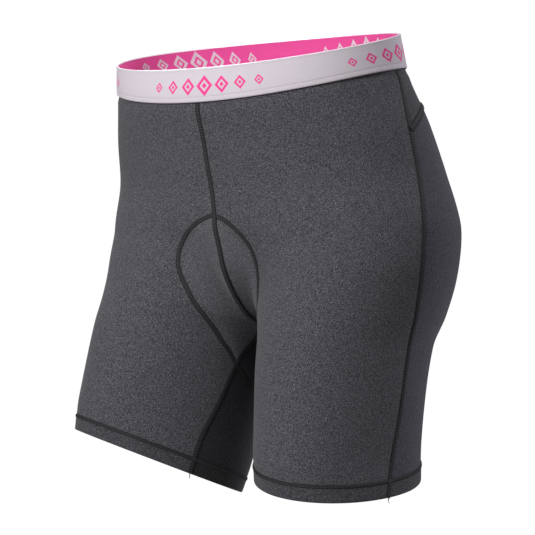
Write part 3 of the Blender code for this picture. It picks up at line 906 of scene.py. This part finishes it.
def seam(name, points, directions, wide, tall, closed=False):
    """A sewn seam: a low ridge with two needle lines and threads that cross it."""
    line, out, tangent, at = resampled(points, directions, SEAM_STEP, closed)
    across = unit(np.cross(out, tangent))
    w = PROFILE * wide / 2
    dome = np.sqrt(np.clip(1 - PROFILE**2, 0, 1))
    needles = np.exp(-(((np.abs(PROFILE) - NEEDLE_AT) / NEEDLE_WIDE) ** 2))
    rung = 0.5 + 0.5 * np.cos(2 * math.pi * at / RUNG_PITCH)
    lean = np.cos(2 * math.pi * (at[:, None] / RUNG_PITCH + 0.25 * PROFILE[None, :]))
    rise = tall * dome[None, :] + RUNG_TALL * (0.5 + 0.5 * lean) * dome[None, :]
    rise = rise + NEEDLE_TALL * needles[None, :] * (0.4 + 0.6 * rung[:, None])
    rise = rise - SEAM_SUNK * (1 - dome[None, :])
    sideways = across[:, None, :] * w[None, :, None]
    verts = line[:, None, :] + sideways + out[:, None, :] * rise[..., None]
    rows, cols = verts.shape[:2]
    # Painted light: 1 on the crests of the crossing threads, falling off into their dips, the
    # needle lines and the seam's edges.
    painted_crest_light = (0.5 + 0.5 * lean) * (1 - needles)[None, :] * dome[None, :]
    if closed:
        verts = verts.transpose(1, 0, 2)
        painted_crest_light = painted_crest_light.T
        faces = grid_faces(cols, rows, True)
    else:
        faces = grid_faces(rows, cols)[:, ::-1]
    sewn = add_mesh(name, verts.reshape(-1, 3), faces, [THREAD])
    mark(sewn, "painted_crest_light", painted_crest_light.ravel())
    return sewn


def on_cloth(level, column, leg, extra=0.0):
    """Points on the outer face at these places, and the directions outwards there."""
    point, out = surface(level, column, leg)
    tall = height(level, column, leg)
    low = np.asarray(level) > HEM_LEVEL
    tall = np.where(low, TURN_UP / 2, tall)
    return point + out * (tall + extra)[..., None], out


BESIDE = 0.02  # columns beside a seam from which its directions outwards are taken


def joined_line(level, end):
    """The centre seam's points and directions, shared by both halves."""
    beside = np.full_like(level, end + (BESIDE if end == 0 else -BESIDE))
    at_end = np.full_like(level, float(end))
    line = form(level, at_end, LEFT)
    down = np.gradient(line, axis=0)
    across = form(level, beside, LEFT) - form(level, beside, RIGHT)
    out = unit(np.cross(down, across)) * (1 if end == 0 else -1)
    return line + out * height(level, at_end, LEFT)[..., None], out


def inseam_line(level, leg):
    """An inseam's points and directions, between the front and the back of one leg."""
    front = form(level, np.full_like(level, BESIDE), leg)
    back = form(level, np.full_like(level, 2 - BESIDE), leg)
    line = form(level, np.zeros_like(level), leg)
    down = np.gradient(line, axis=0)
    out = unit(np.cross(down, front - back)) * leg["side"]
    tall = np.where(level > HEM_LEVEL, TURN_UP / 2, height(level, np.zeros_like(level), leg))
    return line + out * tall[..., None], out


# Seams of the body and legs. Their points crowd together near the crotch.
seams = []
SEAM_TOP = CLOTH_TOP + 0.3 * (BAND_FOOT - CLOTH_TOP)
SEAM_END = 0.985  # the centre seams stop just short of the crotch
INSEAM_START = 1.004
body_levels = 1 - (1 - np.linspace(0, 1, 400)) ** 1.4
front_levels = SEAM_TOP + (SEAM_END - SEAM_TOP) * body_levels
seams.append(seam("seam_centre_front", *joined_line(front_levels, 0), SEAM_WIDE, SEAM_TALL))
back_levels = YOKE[-1][1] + (SEAM_END - YOKE[-1][1]) * body_levels
seams.append(seam("seam_centre_back", *joined_line(back_levels, 2), SEAM_WIDE, SEAM_TALL))
leg_levels = INSEAM_START + (2.0 - INSEAM_START) * np.linspace(0, 1, 300) ** 1.3
side_levels = np.linspace(SEAM_TOP, 2.0, 500)
for leg, word in ((LEFT, "left"), (RIGHT, "right")):
    seams.append(seam(f"seam_inseam_{word}", *inseam_line(leg_levels, leg), SEAM_WIDE, SEAM_TALL))
    line = on_cloth(side_levels, np.ones_like(side_levels), leg)
    seams.append(seam(f"seam_side_{word}", *line, SEAM_WIDE, SEAM_TALL))

# The foot of the yoke, all the way round the back.
yoke_columns = np.linspace(1.0, 2.0, 200)
yoke_rows = YOKE_AT["level"](yoke_columns) - YOKE_BIND_TALL / BLEND_DOWN * BLEND_LEVEL / 2
left_line, left_out = on_cloth(yoke_rows, yoke_columns, LEFT)
right_line, right_out = on_cloth(yoke_rows, yoke_columns, RIGHT)
yoke_line = np.concatenate([left_line, right_line[::-1][1:]])
yoke_dir = np.concatenate([left_out, right_out[::-1][1:]])
seams.append(seam("seam_yoke", yoke_line, yoke_dir, YOKE_SEAM_WIDE, YOKE_SEAM_TALL))

# The hems' sewing.
hem_seams = {}
for leg, word in ((LEFT, "left"), (RIGHT, "right")):
    around = np.linspace(0, 2, 500)[:-1]
    line, out = on_cloth(np.full_like(around, HEM_LEVEL), around, leg, HEM_SEAM_RAISED)
    hem_seams[word] = seam(f"seam_hem_{word}", line, out, HEM_SEAM_WIDE, HEM_SEAM_TALL, closed=True)

# The stitched outline of the pad: over both front panels, across the inseams and round the back.
PAD_TOP = PAD[0][0]
PAD_CROSS = 1.270  # level at which it crosses the inseam
PAD_END = PAD[-1][0]
PAD_BACK_TOP = 0.56
PAD_LINE_STEP = 0.0015


def pad_edge(leg):
    """Points of the outline on one half, from the centre front to the centre back."""
    level = PAD_TOP + (PAD_CROSS - PAD_TOP) * np.linspace(0, 1, 240) ** 1.7
    before = on_cloth(level, np.maximum(pad_reach(level, leg)[0], 0), leg)
    level = np.linspace(PAD_CROSS, PAD_END, 60)[1:]
    across = on_cloth(level, 2 + np.minimum(pad_reach(level, leg)[0], 0), leg)
    level = np.linspace(PAD_END, PAD_BACK_TOP, 200)[1:]
    behind = on_cloth(level, 2 - pad_reach(level, leg)[1], leg)
    return [np.concatenate([stretch[i] for stretch in (before, across, behind)]) for i in (0, 1)]


def rounded_line(points, directions, times):
    """The line with its corners eased."""
    points, directions = points.copy(), directions.copy()
    for _ in range(times):
        points[1:-1] += 0.5 * ((points[:-2] + points[2:]) / 2 - points[1:-1])
        directions[1:-1] += 0.5 * ((directions[:-2] + directions[2:]) / 2 - directions[1:-1])
    return points, unit(directions)


left_pad, right_pad = pad_edge(LEFT), pad_edge(RIGHT)
pad_line = np.concatenate([left_pad[0][::-1], right_pad[0][1:]])
pad_dir = np.concatenate([left_pad[1][::-1], right_pad[1][1:]])
pad_line, pad_dir, _, _ = resampled(pad_line, pad_dir, PAD_LINE_STEP)
pad_line, pad_dir = rounded_line(pad_line, pad_dir, 12)
seams.append(seam("seam_pad", pad_line, pad_dir, PAD_SEAM_WIDE, PAD_SEAM_TALL))


THREAD_SIDES = 6
STITCH_RINGS = 6
ROUND_THREAD = np.linspace(0, 2 * math.pi, THREAD_SIDES + 1)[:-1]


def stitches(name, line, out, tangent, pitch, long, wide, material):
    """Short threads lying along a line."""
    lengths = np.linspace(-1, 1, STITCH_RINGS)
    fat = np.sqrt(np.clip(1 - lengths**2, 0, 1))
    fat[0] = fat[-1] = 0.15
    across = unit(np.cross(out, tangent))
    cos, sin = np.cos(ROUND_THREAD)[None, :, None], np.sin(ROUND_THREAD)[None, :, None]
    verts, faces = [], []
    for i in range(0, len(line), pitch):
        along = line[i] + lengths[:, None, None] * long / 2 * tangent[i]
        ring = along + fat[:, None, None] * wide / 2 * (cos * across[i] + sin * out[i])
        first = len(verts) * STITCH_RINGS * THREAD_SIDES
        faces.append(grid_faces(STITCH_RINGS, THREAD_SIDES, True, first))
        verts.append(ring.reshape(-1, 3))
    return add_mesh(name, np.concatenate(verts), np.concatenate(faces), [material])


# The waistband's sewn line.
STITCH_STEP = 0.0008
STITCH_PITCH = 4  # steps
STITCH_LONG = 0.0025
STITCH_WIDE = 0.0006
NUDGE = (0, 0, 0.002)  # up and down from the line, to find the directions outwards
ring = BAND_FOOT * (1 - LINE_UP / BAND_DOWN)
around = np.linspace(0, 2, 400)
left_ring = form(np.full_like(around, ring), around, LEFT)
right_ring = form(np.full_like(around, ring), around, RIGHT)[::-1][1:-1]
line = np.concatenate([left_ring, right_ring])
directions_line = closed_directions(np.stack([line + NUDGE, line, line - NUDGE]))[1]
line = line + directions_line * (middle + ELASTIC / 2 - GROOVE)
line, out, tangent, _ = resampled(line, directions_line, STITCH_STEP, closed=True)
stitch = (STITCH_PITCH, STITCH_LONG, STITCH_WIDE, PALE_THREAD)
band_sewing = stitches("sewing_waistband", line, out, tangent, *stitch)

# Loose ends of thread where the seams reach the hems.
TAIL_RINGS = 9
TAIL_LONG = 0.0045
TAIL_BENT = 0.003
TAIL_RADIUS = 0.0005
TAIL_RAISED = 0.0003
tails = []
for leg, word, column, lean in (
    (LEFT, "left", 1.0, 0.3),
    (RIGHT, "right", 0.0, -0.2),
):
    end, out = on_cloth(np.array([2.0]), np.array([column]), leg)
    t = np.linspace(0, 1, TAIL_RINGS)
    hang = np.stack([lean * TAIL_BENT * t * t, 0 * t, -TAIL_LONG * t], -1)
    spine = end[0] + out[0] * TAIL_RAISED + hang
    radius = TAIL_RADIUS * (1 - 0.5 * t)
    ring = np.stack([np.cos(ROUND_THREAD), np.sin(ROUND_THREAD), 0 * ROUND_THREAD], -1)
    verts = (spine[:, None, :] + radius[:, None, None] * ring[None]).reshape(-1, 3)
    faces = grid_faces(TAIL_RINGS, THREAD_SIDES, True)
    tails.append(add_mesh(f"thread_end_{word}", verts, faces, [THREAD]))


# The cloth pieces stand in for the frame's solids, which are hidden, and every piece is attached to
# the root.
for name, piece in cloth.items():
    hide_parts(name)
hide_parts("waistband")
for piece in [*cloth.values(), waistband, *seams, *hem_seams.values(), band_sewing, *tails]:
    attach(piece, "root")


# The camera at the photograph's angle.
AZIMUTH = 36.08
ELEVATION = -0.48
DISTANCE = 1.853
LOOK_AT = (0.0, 0.0, -0.1991)
MOVED_RIGHT = 0.0069
VIEW_ANGLE = 15.13


def toward(azimuth, elevation):
    """Direction from the object toward a place round it. Azimuth 0 is the wearer's front."""
    a, e = math.radians(azimuth), math.radians(elevation)
    return (math.sin(a) * math.cos(e), -math.cos(a) * math.cos(e), math.sin(e))


back = np.array(toward(AZIMUTH, ELEVATION))
right = np.array([math.cos(math.radians(AZIMUTH)), math.sin(math.radians(AZIMUTH)), 0.0])
up = np.cross(back, right)
camera = bpy.data.objects.new("camera", bpy.data.cameras.new("camera"))
bpy.context.scene.collection.objects.link(camera)
camera.data.sensor_width = 36.0
camera.data.lens = 18.0 / math.tan(math.radians(VIEW_ANGLE) / 2)
camera.location = np.array(LOOK_AT) + back * DISTANCE + right * MOVED_RIGHT
camera.rotation_mode = "QUATERNION"
camera.rotation_quaternion = Matrix(np.stack([right, up, back], 1).tolist()).to_quaternion()
camera.data.clip_start = 0.05
camera.data.clip_end = 60.0
bpy.context.scene.camera = camera


# Light and floor.
BEAM = 70.0  # spread of a lamp, so that little of its light reaches the floor


def area_light(name, azimuth, elevation, distance, size, power, color=(1, 1, 1)):
    """A round soft lamp that faces the middle of the object."""
    way = Vector(toward(azimuth, elevation))
    data = bpy.data.lights.new(name, "AREA")
    data.shape = "DISK"
    data.size = size
    data.energy = power
    data.color = color
    data.spread = math.radians(BEAM)
    obj = bpy.data.objects.new(name, data)
    bpy.context.scene.collection.objects.link(obj)
    obj.location = Vector(LOOK_AT) + way * distance
    obj.rotation_mode = "QUATERNION"
    obj.rotation_quaternion = way.to_track_quat("Z", "Y")


area_light("key", -8, 26, 2.4, 0.9, 7.4)
area_light("side", 142, 30, 2.6, 1.3, 5.8, (0.93, 0.94, 1.0))
area_light("top", 30, 60, 2.4, 0.9, 1.7)
area_light("behind", 228, 40, 2.6, 1.6, 3.6)
area_light("inside", 0, 90, 0.37, 0.12, 0.62)

AMBIENT = 0.08  # soft light from all around
BACKDROP = 1.02  # the white studio wall behind

world = bpy.data.worlds.new("studio")
bpy.context.scene.world = world
world.use_nodes = True
tree = world.node_tree
backdrop = tree.nodes["Background"]
seen = tree.nodes.new("ShaderNodeLightPath").outputs["Is Camera Ray"]
shade = tree.nodes.new("ShaderNodeMapRange")
shade.inputs["To Min"].default_value = AMBIENT
shade.inputs["To Max"].default_value = BACKDROP
tree.links.new(seen, shade.inputs["Value"])
tree.links.new(shade.outputs["Result"], backdrop.inputs["Color"])
backdrop.inputs["Strength"].default_value = 1.0

FLOOR_DOWN = -1.0
FLOOR_ROUND = 3.3
FLOOR_RINGS = 12
FLOOR_SIDES = 96
floor_nodes = Nodes("floor_white", 0.9)
floor_nodes.color((0.90, 0.90, 0.90))
floor_angles = np.linspace(0, 2 * math.pi, FLOOR_SIDES + 1)[:-1]
floor_radii = FLOOR_ROUND * np.linspace(0.0001, 1, FLOOR_RINGS)
floor_ring = np.stack([np.cos(floor_angles), np.sin(floor_angles)], -1)
floor_flat = floor_radii[:, None, None] * floor_ring
floor_level = np.full((FLOOR_RINGS, FLOOR_SIDES, 1), FLOOR_DOWN)
floor_verts = np.concatenate([floor_flat, floor_level], -1).reshape(-1, 3)
floor_faces = grid_faces(FLOOR_RINGS, FLOOR_SIDES, True)
floor = add_mesh("floor", floor_verts, floor_faces, [floor_nodes.material])

bpy.context.scene.view_settings.view_transform = "Standard"
